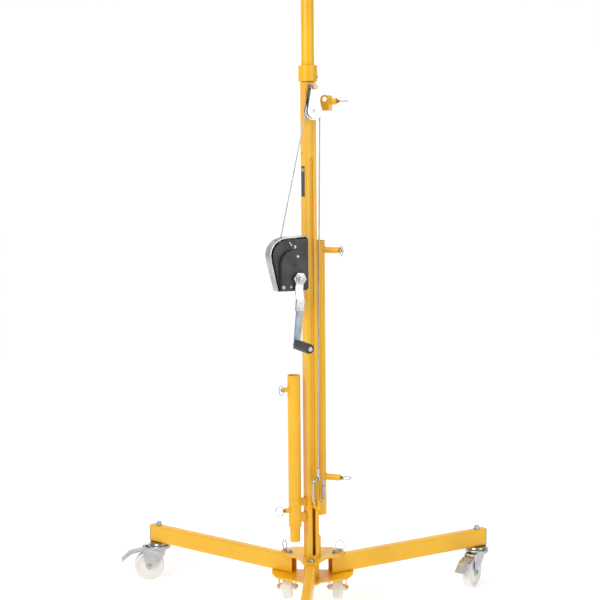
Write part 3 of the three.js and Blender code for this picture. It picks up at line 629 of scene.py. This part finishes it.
def build_transport_wheels():
    for side in ("left", "right"):
        azimuth = math.radians(LEGS[side]["azimuth"])
        foot = (TRANSPORT_R * math.cos(azimuth), TRANSPORT_R * math.sin(azimuth), TRANSPORT_AXLE_Z)
        place = ROW @ shift(*foot)
        web = block((-30, 30), (-16, 16), (44, 47.7), 0.8)
        tabs = [fork_tab(end) for end in (-1, 1)]
        piece(f"transport_bracket_{side}", join(web, *tabs), place, "base", YELLOW,
              f"transport_fork_{side}")
        profile = [
            (4.4, -25.5), (10, -25.5), (11, -17), (14, -15), (30, -12.5), (33, -16), (37, -16), (40, -12),
            (40, 12), (37, 16), (33, 16), (30, 12.5), (14, 15), (11, 17), (10, 25.5), (4.4, 25.5),
        ]
        wheel = moved(lathe(rounded(profile, 1.6, 3), 72), turn(90, "Y"))
        piece(f"transport_roller_{side}", wheel, place, f"transport_wheel_{side}", NYLON,
              f"transport_wheel_{side}")
        heads = join(moved(rod(4, -31, 31), turn(90, "Y")), *[
            moved(nyloc(8, 30.2, 35, 4), turn(90 * end, "Y")) for end in (-1, 1)
        ])
        piece(f"transport_axle_nuts_{side}", heads, place, "base", ZINC)


def fork_tab(end):
    """One hanging side of a transport wheel's bracket, rounded at the foot."""
    outline = [(-16, 47), (16, 47), *arc(0, 0, 12, 0, -180, 10)]
    x = sorted((end * 27, end * 30))
    return moved(prism(outline, x[0], x[1], 0.7), turn(90, "X"), turn(90))


def castor_cheek(sign):
    """One side plate of a castor's fork."""
    foot = arc(38, 54, 13, 200, 340, 8)
    outline = [(-26, 122), (-16, 90), (25, 50), *foot, (55, 92), (62, 108), (60, 122)]
    plate = prism(rounded(outline, 4, 3), 17 if sign > 0 else -20, 20 if sign > 0 else -17, 0.7)
    return moved(plate, turn(90, "X"))


def build_castors():
    for side in LEGS:
        place = castor_frame(side)
        holder = LEGS[side]["body"]
        race = lathe(rounded([
            (0, 130.2), (35, 130.2), (36, 133), (34, 136), (33.5, 138), (0, 138),
        ], 0.8, 2, closed=False), 64)
        stem = join(race, rod(6, 138, 204), rod(12, 198.4, 200.6), nyloc(10.5, 200.4, 211, 5))
        piece(f"castor_{side}_plate_race", stem, place, holder, ZINC, f"castor_{side}_stem")
        cup = lathe(rounded([
            (0, 111.5), (30, 111.5), (36, 113.5), (41, 118),
            (42, 123), (42, 127.5), (39.5, 129.7), (0, 129.7),
        ], 1.5, 3, closed=False), 72)
        axle = moved(join(
            rod(5, -24, 24), nyloc(8, 19.8, 24.6, 4), moved(nyloc(8, 19.8, 24.6, 4), turn(180, "X")),
            rod(10.5, 19.6, 21), rod(10.5, -21, -19.6),
        ), turn(90, "X"), shift(CASTOR_TRAIL, 0, WHEEL_R))
        fork = join(cup, castor_cheek(1), castor_cheek(-1), axle)
        piece(f"castor_{side}_yoke", fork, place, f"castor_{side}", ZINC, f"castor_{side}_fork")
        profile = [
            (5.4, -15), (15, -15), (17, -13.5), (22, -10), (38, -10),
            (43, -13), (49, -14.5), (53, -11), (54, -6), (54, 6), (53, 11), (49, 14.5), (43, 13),
            (38, 10), (22, 10), (17, 13.5), (15, 15), (5.4, 15),
        ]
        wheel = moved(lathe(rounded(profile, 1.8, 3), 80), turn(90, "X"), shift(CASTOR_TRAIL, 0, WHEEL_R))
        piece(f"castor_{side}_roller", wheel, place, f"castor_{side}_wheel", NYLON,
              f"castor_{side}_wheel")
        piece(f"castor_{side}_pedal", brake_pedal(), place, f"castor_{side}_brake", ZINC,
              f"castor_{side}_brake")


def brake_pedal():
    """A pressed pedal: a narrow neck, then a wide ribbed tread that bends down to its tip."""
    neck_line = [(46, 113.5), (68, 109), (69, 113), (46, 118)]
    neck = moved(prism(rounded(neck_line, 1, 2), -16, 16, 0.6), turn(90, "X"))
    tread_line = [(67, 109), (104, 101), (136, 75), (138.5, 78), (107, 105), (68, 113.5)]
    tread = moved(prism(rounded(tread_line, 2.5, 3), -21, 21, 1.0), turn(90, "X"))
    ribs = []
    for at in (76, 84, 92, 100):
        height = 113.2 - (at - 68) * 0.215
        ribs.append(sweep([(at, y, height) for y in (-15, -8, 0, 8, 15)], 1.3, 10))
    pin = moved(rod(4, -16.7, 16.7), turn(90, "X"), shift(54, 0, 117))
    return join(neck, tread, *ribs, pin)


# ---- Mast and tubes ----
def build_mast():
    outer = box_section(MAST_HALF, MAST_HALF, 5)
    inner = box_section(MAST_HALF - TUBE_WALL, MAST_HALF - TUBE_WALL, 3)
    bar = hollow_bar(outer, inner, *MAST_Z)
    low, high = SLOT_Z[0] + SLOT_HALF_W, SLOT_Z[1] - SLOT_HALF_W
    slot_outline = [*arc(0, low, SLOT_HALF_W, 180, 360, 10), *arc(0, high, SLOT_HALF_W, 0, 180, 10)]
    slot = moved(prism(slot_outline, 14, 24, 0), turn(90, "X"))
    piece("slotted_mast", cut(bar, slot), MAST, "base", YELLOW, "mast")
    refine("inner_mast", YELLOW, 1.5)
    # A thin black disc on the mast's side where a small hole is: painted shade standing for the hole's dark
    # inside.
    hole_shade_disc = moved(rod(3.2, 19.9, 20.15, 0.05, 24), turn(-90, "Y"), shift(0, 6, 1543))
    piece("mast_side_hole_painted_shade", hole_shade_disc, MAST, "base", BLACK)
    label = block((-20.35, -20.05), (-12, 12), (1403, 1502), 0.1)
    piece("mast_label", label, MAST, "base", LABEL)
    band = block((-20.5, -20.2), (-11, 11), (1484, 1494), 0.1)
    piece("mast_label_band", band, MAST, "base", LABEL_EDGE)


def cut(bm, *tools):
    """Cuts tools out of bm with an exact boolean."""
    objects = []
    for shape in (bm, *tools):
        mesh = bpy.data.meshes.new("cutting")
        shape.to_mesh(mesh)
        shape.free()
        obj = bpy.data.objects.new("cutting", mesh)
        bpy.context.scene.collection.objects.link(obj)
        objects.append(obj)
    body, *knives = objects
    for knife in knives:
        modifier = body.modifiers.new("cut", "BOOLEAN")
        modifier.operation = "DIFFERENCE"
        modifier.object = knife
        modifier.solver = "EXACT"
    bpy.context.view_layer.update()
    evaluated = body.evaluated_get(bpy.context.evaluated_depsgraph_get())
    result = bmesh.new()
    result.from_mesh(evaluated.to_mesh())
    for obj in objects:
        mesh = obj.data
        bpy.data.objects.remove(obj)
        bpy.data.meshes.remove(mesh)
    return result


def build_slider_top():
    collar = lathe(rounded([(21.5, 1778), (31, 1772.2), (31, 1823), (27, 1823), (21.6, 1823)], 1.6, 3), 72)
    lip = rod(30.5, 1772, 1779, 0.8, 64)
    socket_mark = lathe([(0, 34.1), (2.2, 34.1), (2.2, 34.3), (0, 34.3)], 6)
    set_screw = join(rod(4.5, 29, 34), socket_mark)
    moved(set_screw, turn(90, "Y"), shift(0, 0, 1788), turn(-45))
    piece("collar_ring", join(collar, lip), MAST, "slider", YELLOW, "mast_collar")
    piece("collar_screw", set_screw, MAST, "slider", ZINC)
    upper = tube(ROUND_R, TUBE_WALL, *UPPER_TUBE_Z, 80)
    piece("upper_round_tube", upper, MAST, "slider", YELLOW, "upper_tube")
    bead = weld([(x, y, 1823.3) for x, y, _ in circle(22.3, 60)], 1.6)
    piece("collar_weld", bead, MAST, "slider", WELD)


def stub_tube(radius, bore, x0, x1, height, side=1):
    """The short guide of a plunger, along X."""
    body = lathe(rounded([(bore, x0), (radius, x0), (radius, x1), (bore, x1)], 1.0, 3), 48)
    return moved(body, turn(90 * side, "Y"), shift(0, 0, height))


def build_side_tube():
    parts = [tube(ROUND_R, TUBE_WALL, *SIDE_TUBE_Z, 80)]
    beads = []
    for height in (SIDE_PIN_Z["lower"], SIDE_PIN_Z["upper"]):
        parts.append(stub_tube(10.3, 4.5, ROUND_R - 2, SIDE_STUB_END, height))
        beads.append(weld(saddle(ROUND_R, 11.0, height), 1.7))
    piece("side_store_tube", join(*parts), SIDE, "base", YELLOW, "side_tube")
    for z in (420, 800, 1180):
        line = [(-ROUND_R * 0.72, -ROUND_R * 0.70, z + 8 * k) for k in range(-2, 3)]
        beads.append(sweep(line, 2.2, 8))
    piece("side_tube_welds", join(*beads), SIDE, "base", WELD)


def build_extension():
    socket = join(
        tube(ROUND_R, ROUND_R - SPIGOT_R - 0.35, *SOCKET_Z, 72),
        block((19, 39.7), (-7, 7), (331, 361), 1.5),
        block((19, 39.7), (-7, 7), (385, 410), 1.5),
        stub_tube(8, 3.9, STUB_START, SOCKET_STUB_END, SOCKET_PIN_Z, -1),
    )
    piece("extension_socket", socket, EXTENSION, "base", YELLOW, "storage_socket")
    body = join(
        tube(ROUND_R, TUBE_WALL, *EXTENSION_Z, 80),
        tube(SPIGOT_R, TUBE_WALL, *SPIGOT_Z, 72),
        lathe([(SPIGOT_R - 1, 414), (ROUND_R - 1, 414), (ROUND_R - 1, 418), (SPIGOT_R - 1, 418)], 64),
        stub_tube(8, 3.9, STUB_START, EXTENSION_STUB_END, EXTENSION_PIN_Z, -1),
    )
    piece("mast_extension", body, EXTENSION, "base", YELLOW, "extension_tube")
    beads = [weld(saddle(ROUND_R, 8.6, height, -1), 1.4) for height in (SOCKET_PIN_Z, EXTENSION_PIN_Z)]
    for low, high in ((330, 362), (384, 411)):
        foot = rounded([(-7.6, low), (7.6, low), (7.6, high), (-7.6, high)], 2, 3)
        beads.append(weld([(38.8, y, z) for y, z in foot], 1.6))
    piece("extension_welds", join(*beads), EXTENSION, "base", WELD)


def plunger(name, matrix, tip, seat, faces, pin_r):
    """A spring plunger along X, from its tip to its knob, with a pull ring in the plane given by faces."""
    shaft = rod(pin_r, tip, seat + 9, 0.8)
    head = lathe(rounded([
        (0, seat + GAP), (pin_r + 2.2, seat + GAP), (pin_r + 2.2, seat + 3.4), (pin_r + 0.8, seat + 4),
        (pin_r + 0.8, seat + 5), (pin_r + 2.2, seat + 5.6), (pin_r + 2.0, seat + 8), (0, seat + 8.6),
    ], 0.6, 2, closed=False), 32)
    pin = moved(join(shaft, head), turn(90, "Y"))
    ring = split_ring(PULL_RING_R)
    if faces == "x":
        moved(ring, turn(90, "Y"), shift(seat + 8, 0, 2 - pin_r))
    else:
        moved(ring, turn(90 if faces == "y" else 0, "X"), shift(seat + 21, 0, 0))
    # The pin takes the darker yellow, which is painted shade on its yellow coat.
    piece(name + "_pin", pin, matrix, name, PAINTED_SHADE_PIN, name)
    piece(name + "_ring", ring, matrix, name, STEEL)


def build_plungers():
    upper = SIDE @ shift(0, 0, SIDE_PIN_Z["upper"])
    lower = SIDE @ shift(0, 0, SIDE_PIN_Z["lower"])
    outward = EXTENSION @ turn(180)
    plunger("side_plunger_upper", upper, 12, SIDE_STUB_END, "x", 4)
    plunger("side_plunger_lower", lower, 12, SIDE_STUB_END, "z", 4)
    plunger("socket_plunger", outward @ shift(0, 0, SOCKET_PIN_Z), 11, SOCKET_STUB_END, "y", 3.5)
    plunger("extension_plunger", outward @ shift(0, 0, EXTENSION_PIN_Z), 14, EXTENSION_STUB_END, "x", 3.5)
    plunger("latch_plunger", LATCH @ shift(*LATCH_PIN), -12, 20, "z", 4)
    refine("latch_bracket", YELLOW, 0.7, 60)


# ---- Mast head, winch and cable, in the face frame ----
def build_head():
    refine("pulley_hanger", YELLOW, 0.7, 60)
    u, z = PULLEY
    outline = [*arc(u, z, 25, 170, 370, 28), *arc(u, HANGER_Z, 11, 20, 160, 12)]
    cheeks = [prism(outline, n0, n0 + 3, 0.8) for n0 in (34, 55)]
    spacer = moved(rod(9, 36, 56), shift(u, HANGER_Z))
    axle = moved(join(rod(4, 31, 61), hexagon(7, 57.8, 61), moved(hexagon(7, -34.2, -31), turn(180, "X"))),
                 shift(u, z))
    piece("pulley_cheeks", join(*cheeks, spacer, axle), FACE, "base", ZINC, "pulley_block")
    hollow = [(21.2 + 2.8 * (1 - math.cos(math.radians(a))), 2.8 * math.sin(math.radians(a)))
              for a in range(-80, 81, 20)]
    groove = [(4.4, -6.5), (29, -6.5), (29, -5), *hollow, (29, 5), (29, 6.5), (4.4, 6.5)]
    wheel = moved(lathe(groove, 72), shift(u, z, CABLE_N))
    piece("pulley_sheave", wheel, FACE, "pulley", STEEL, "pulley_wheel")
    bolt = join(
        moved(rod(8.5, 58.4, 60), shift(u, HANGER_Z)),
        moved(nyloc(7.5, 59.8, 66, 4), shift(u, HANGER_Z)),
    )
    piece("hanger_bolt", bolt, FACE, "base", ZINC)


def screw(u, z, n, radius, kind="pan"):
    """A screw's head standing on the face at n."""
    if kind == "hex":
        washer = rod(radius * 1.25, n, n + 1.2)
        head = join(washer, hexagon(radius, n + 1, n + 4.5), rod(radius * 0.5, n, n + 6.2))
    else:
        side = [(0, n), (radius, n), (radius, n + 1)]
        dome = [*side, (radius * 0.75, n + 2.4), (radius * 0.3, n + 3), (0, n + 3)]
        head = lathe(rounded(dome, 0.6, 2, closed=False), 32)
    return moved(head, shift(u, z))


def build_winch():
    refine("winch_mount", YELLOW, 0.8)
    refine("winch_housing", ZINC, 0.9)
    refine("winch_side_plate", BLACK, 0.8)
    refine("winch_gear_cover", COVER, 2.2, 60)
    fasteners = join(
        screw(-79.3, 1219, GEAR_COVER_N, 5.4),
        screw(-130, 1123, GEAR_COVER_N, 6.2),
        screw(-104, 1123, GEAR_COVER_N, 4.6),
        screw(-84, 1248, SIDE_PLATE_N, 4.2, "hex"),
    )
    piece("winch_fasteners", fasteners, FACE, "base", ZINC)
    low, high = GEAR_COVER_N, GEAR_COVER_N + 1.6
    profile = rounded([(4.6, low), (8.5, low), (7.5, high), (4.6, high)], 0.8, 2)
    boss = moved(lathe(profile, 48), shift(*DRUM))
    piece("drum_shaft_boss", boss, FACE, "base", COVER)
    pawl = moved(block((-9, 8), (-2.4, 2.4), (65.4, 68.4), 0.9), turn(-52), shift(-99, 1258))
    piece("winch_brake_lever", pawl, FACE, "base", BLUED)
    refine("winch_drum", ZINC, 0.5)
    refine("drum_gear", STEEL, 0.2, 60)
    coils = []
    for n in range(4):
        centre_n = 37.0 + CABLE_R * 2.1 * n
        ring = [(x, y, centre_n) for x, y, _ in circle(COIL_R, 72)]
        coils.append(sweep(ring, CABLE_R, 10, closed=True))
    core = lathe([(25.3, 34.4), (40, 34.4), (40, 57.6), (25.3, 57.6)], 64)
    coil = moved(join(*coils, core), shift(*DRUM))
    piece("wound_cable", coil, FACE, "drum", ROPE, "cable_coil")


def build_crank():
    place = FACE @ shift(*CRANK) @ turn(CRANK_LEAN)
    end = -CRANK_THROW
    upper = [(84, 14), (84, -36), (98, -62), (98, -88), (104, -88), (104, -60), (91, -32), (91, 14)]
    lower = [(99, -90), (99, end - 14), (105.4, end - 14), (105.4, -90)]
    arm = join(
        crank_strip(upper, 14, 2.2),
        hexagon(23, 81, 92),
        rod(15.5, 91, 96, 1.4),
        nyloc(11.5, 95.5, 103.5, 5),
        moved(block((-14.6, 14.6), (-100, -62), (97.6, 106.4), 1.4)),
        rod(5, 66, 97, 1.0),
        pinion(),
    )
    piece("crank_hub_arm", arm, place, "crank", ZINC, "crank_handle")
    low = join(crank_strip(lower, 11.5, 2.0), moved(rod(12.5, 98.6, 105.8, 1.2), shift(0, end)))
    piece("crank_lower_arm", low, place, "crank", BLUED)
    rivets = join(*[moved(rod(4, 105.6, 107.6, 0.9), shift(0, y)) for y in (-74, -90)])
    piece("crank_rivets", rivets, place, "crank", ZINC)
    dome = rounded([(0, 196.5), (8, 196.5), (7.4, 199), (4, 200), (0, 200)], 0.8, 3, closed=False)
    pin = join(
        moved(rod(5, 100, 197), shift(0, end)),
        moved(lathe(dome, 32), shift(0, end)),
    )
    piece("crank_grip_pin", pin, place, "crank", ZINC)
    profile = [(5.4, CRANK_GRIP_N), (13, CRANK_GRIP_N), (15, CRANK_GRIP_N + 2)]
    for k in range(7):
        n = 115 + 10.5 * k
        profile += [(15.8, n), (15.8, n + 6.8), (14.9, n + 8), (14.9, n + 9.3)]
    profile += [(15.8, 189), (15.2, 193), (12, 195.8), (5.4, 195.8)]
    grip = moved(lathe(rounded(profile, 0.9, 2), 64), shift(0, end))
    piece("crank_grip_sleeve", grip, place, "crank_grip", GRIP, "crank_grip")


def crank_strip(line, half, edge):
    """A bent flat bar: a (Z, Y) outline carried across X."""
    bm = prism([(z, y) for z, y in line], -half, half, 0)
    for vertex in bm.verts:
        z, y, x = vertex.co
        vertex.co = (x, y, z)
    bmesh.ops.recalc_face_normals(bm, faces=bm.faces)
    return soften(bm, edge, 30, 3)


def pinion():
    """The toothed end of the crank's shaft."""
    teeth = []
    for i in range(PINION_TEETH):
        middle = 360 / PINION_TEETH * i
        for radius, part in ((9, -9.6), (12, -4.2), (12, 4.2), (9, 9.6)):
            a = math.radians(middle + part)
            teeth.append((radius * math.cos(a), radius * math.sin(a)))
    return prism(teeth, 68, 75, 0)


def strand(angle):
    """The lobed section of a wire rope."""
    return 0.86 + 0.14 * abs(math.cos(3 * angle))


def build_cable():
    u0, z0 = DRUM
    u1, z1 = PULLEY
    run = math.hypot(u1 - u0, z1 - z0)
    slope = math.atan2(z1 - z0, u1 - u0) - math.asin((DRUM_PATH_R - SHEAVE_PATH_R) / run)
    left = (-math.sin(slope), math.cos(slope))
    start = (u0 + DRUM_PATH_R * left[0], z0 + DRUM_PATH_R * left[1])
    end = (u1 + SHEAVE_PATH_R * left[0], z1 + SHEAVE_PATH_R * left[1])
    line = straight_run(start, end, 150)[:-1]
    bend = arc(u1, z1, SHEAVE_PATH_R, math.degrees(slope) + 90, 0, 30)
    line += [(x, y, CABLE_N) for x, y in bend]
    lead = sweep(line, CABLE_R, 12, section=strand, twist=CABLE_TWIST)
    piece("cable_run", lead, FACE, "base", ROPE, "cable_lead")
    high = (u1 + SHEAVE_PATH_R, CABLE_FALL_TOP)
    drop = straight_run((CARABINER_U, CABLE_EYE_TOP), high, 260)
    rope = sweep(drop, CABLE_R, 12, section=strand, twist=CABLE_TWIST)
    fall = piece("cable_drop", rope, FACE, "base", ROPE, "cable_fall")
    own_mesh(fall)
    thimble = sweep(eye_loop(8.2, 482.4, 1.25), 2.5, 10, closed=True)
    barrel = rounded([(0, 489.5), (5, 489.5), (5, 516.6), (0, 516.6)], 1.2, 3, closed=False)
    ferrule = moved(lathe(barrel, 32), turn(-90, "X"))
    moved(thimble, shift(CARABINER_U, 0, CABLE_N))
    moved(ferrule, shift(CARABINER_U, 0, CABLE_N))
    piece("cable_thimble", thimble, FACE, "slider", ROPE, "cable_eye")
    piece("cable_ferrule", ferrule, FACE, "slider", ZINC)


def straight_run(start, end, steps):
    """Points on a stretch of cable between two places on the face."""
    return [(start[0] + (end[0] - start[0]) * i / steps, start[1] + (end[1] - start[1]) * i / steps, CABLE_N)
            for i in range(steps + 1)]


def eye_loop(radius, centre, stretch):
    """The loop of rope at the cable's end, pulled out long towards the ferrule."""
    ring = []
    for i in range(40):
        a = 2 * math.pi * i / 40
        rise = math.sin(a)
        pull = stretch if rise > 0 else 1
        ring.append((0, centre + radius * rise * pull, radius * math.cos(a) * (1 - 0.25 * max(rise, 0))))
    return ring


def build_carabiner():
    half = CARABINER_HALF_W
    low, high = CARABINER_Z
    loop = [(CARABINER_U + half, 466), *arc(CARABINER_U, high - half, half, 10, 170, 22),
            *arc(CARABINER_U, low + half, half, 190, 350, 22), (CARABINER_U + half, 414)]
    bar = sweep([(x, y, CABLE_N) for x, y in loop], 4, 20)
    piece("carabiner_loop", bar, FACE, "slider", ZINC, "carabiner")
    foot = [(0, 414.4), (3.6, 414.4), (4.4, 416), (4.4, 422), (6.4, 424), (6.4, 427)]
    top = [(6.4, 453), (6.4, 456), (4.4, 458), (4.4, 464), (3.6, 465.6), (0, 465.6)]
    profile = [*foot, (5.9, 428), (5.9, 452), *top]
    gate = moved(lathe(rounded(profile, 0.5, 2, closed=False), 36), turn(-90, "X"),
                 shift(CARABINER_U + half, 0, CABLE_N))
    piece("carabiner_sleeve", gate, FACE, "carabiner_gate", ZINC, "carabiner_gate")


def build_cradle():
    for node in ("cradle_head", "cradle_beam", "cradle_arm_left", "cradle_arm_right"):
        refine(node, YELLOW, 1.5)


def dress_nodes():
    """Gives the CAD nodes the finished materials."""
    by_slot = {
        "yellow_paint": YELLOW, "zinc": ZINC, "steel": STEEL, "cable": ROPE,
        "black_paint": BLACK, "dark_plastic": COVER, "nylon": NYLON,
    }
    for name, node in frame["nodes"].items():
        node.data.materials.clear()
        node.data.materials.append(by_slot[SLOT_OF[name]])


# ---- Stage ----
FLOOR_HALF_W = 9.0  # metres, as are the rest of the stage and the lights
FLOOR_BACK = 3.0
SWEEP_R = 1.6
SWEEP_STEPS = 16
WALL_TOP = 7.0
WORLD_STRENGTH = 0.32
FLOOR_GLOW = 0.30
KEY_POWER = 120
FILL_POWER = 38
TOP_POWER = 60


def make_stage():
    """A pale floor that curves up into the wall behind."""
    bm = bmesh.new()
    profile = [(-FLOOR_HALF_W, 0.0), (FLOOR_BACK, 0.0)]
    for k in range(1, SWEEP_STEPS + 1):
        a = math.pi / 2 * k / SWEEP_STEPS
        profile.append((FLOOR_BACK + SWEEP_R * math.sin(a), SWEEP_R - SWEEP_R * math.cos(a)))
    profile.append((FLOOR_BACK + SWEEP_R, WALL_TOP))
    rows = [[bm.verts.new((x, y, z)) for x in (-FLOOR_HALF_W, FLOOR_HALF_W)] for y, z in profile]
    for a, b in zip(rows, rows[1:]):
        bm.faces.new((a[0], a[1], b[1], b[0]))
    mesh = bpy.data.meshes.new("studio_floor")
    bm.to_mesh(mesh)
    bm.free()
    mesh.shade_smooth()
    floor = bpy.data.objects.new("studio_floor", mesh)
    bpy.context.scene.collection.objects.link(floor)
    n = Nodes("pale_floor")
    colour = n.ramp(n.noise(1.5, 3), [(0.4, (0.90, 0.90, 0.90)), (0.6, (0.92, 0.92, 0.92))])
    rough = n.spread(n.noise(8.0, 3), 0.7, 0.8)
    normal = n.bump(n.noise(200.0, 2), 0.02, 0.0005)
    white = n.done(colour, rough, normal, Specular_IOR_Level=0.2, Emission_Strength=FLOOR_GLOW)
    n.shader.inputs["Emission Color"].default_value = (1, 1, 1, 1)
    mesh.materials.append(white)


def area_light(name, place, target, size, power):
    data = bpy.data.lights.new(name, "AREA")
    data.shape = "RECTANGLE"
    data.size, data.size_y = size
    data.energy = power
    light = bpy.data.objects.new(name, data)
    bpy.context.scene.collection.objects.link(light)
    light.location = place
    light.rotation_euler = (Vector(target) - Vector(place)).to_track_quat("-Z", "Y").to_euler()


def make_lights():
    bpy.context.scene.view_settings.view_transform = "Standard"
    world = bpy.data.worlds.new("studio")
    bpy.context.scene.world = world
    world.use_nodes = True
    background = world.node_tree.nodes["Background"]
    background.inputs["Color"].default_value = (1.0, 1.0, 1.0, 1)
    background.inputs["Strength"].default_value = WORLD_STRENGTH
    area_light("key", (-2.6, -3.2, 3.4), (0, 0.1, 1.0), (2.0, 2.6), KEY_POWER)
    area_light("fill", (3.4, -2.2, 2.0), (0, 0.1, 0.9), (1.4, 3.0), FILL_POWER)
    area_light("top", (0.2, 0.6, 4.6), (0, 0.2, 0.4), (3.0, 3.0), TOP_POWER)


dress_nodes()
build_legs()
build_hub()
build_transport_wheels()
build_castors()
build_mast()
build_slider_top()
build_side_tube()
build_extension()
build_plungers()
build_head()
build_winch()
build_crank()
build_cable()
build_carabiner()
build_cradle()
make_stage()
make_lights()
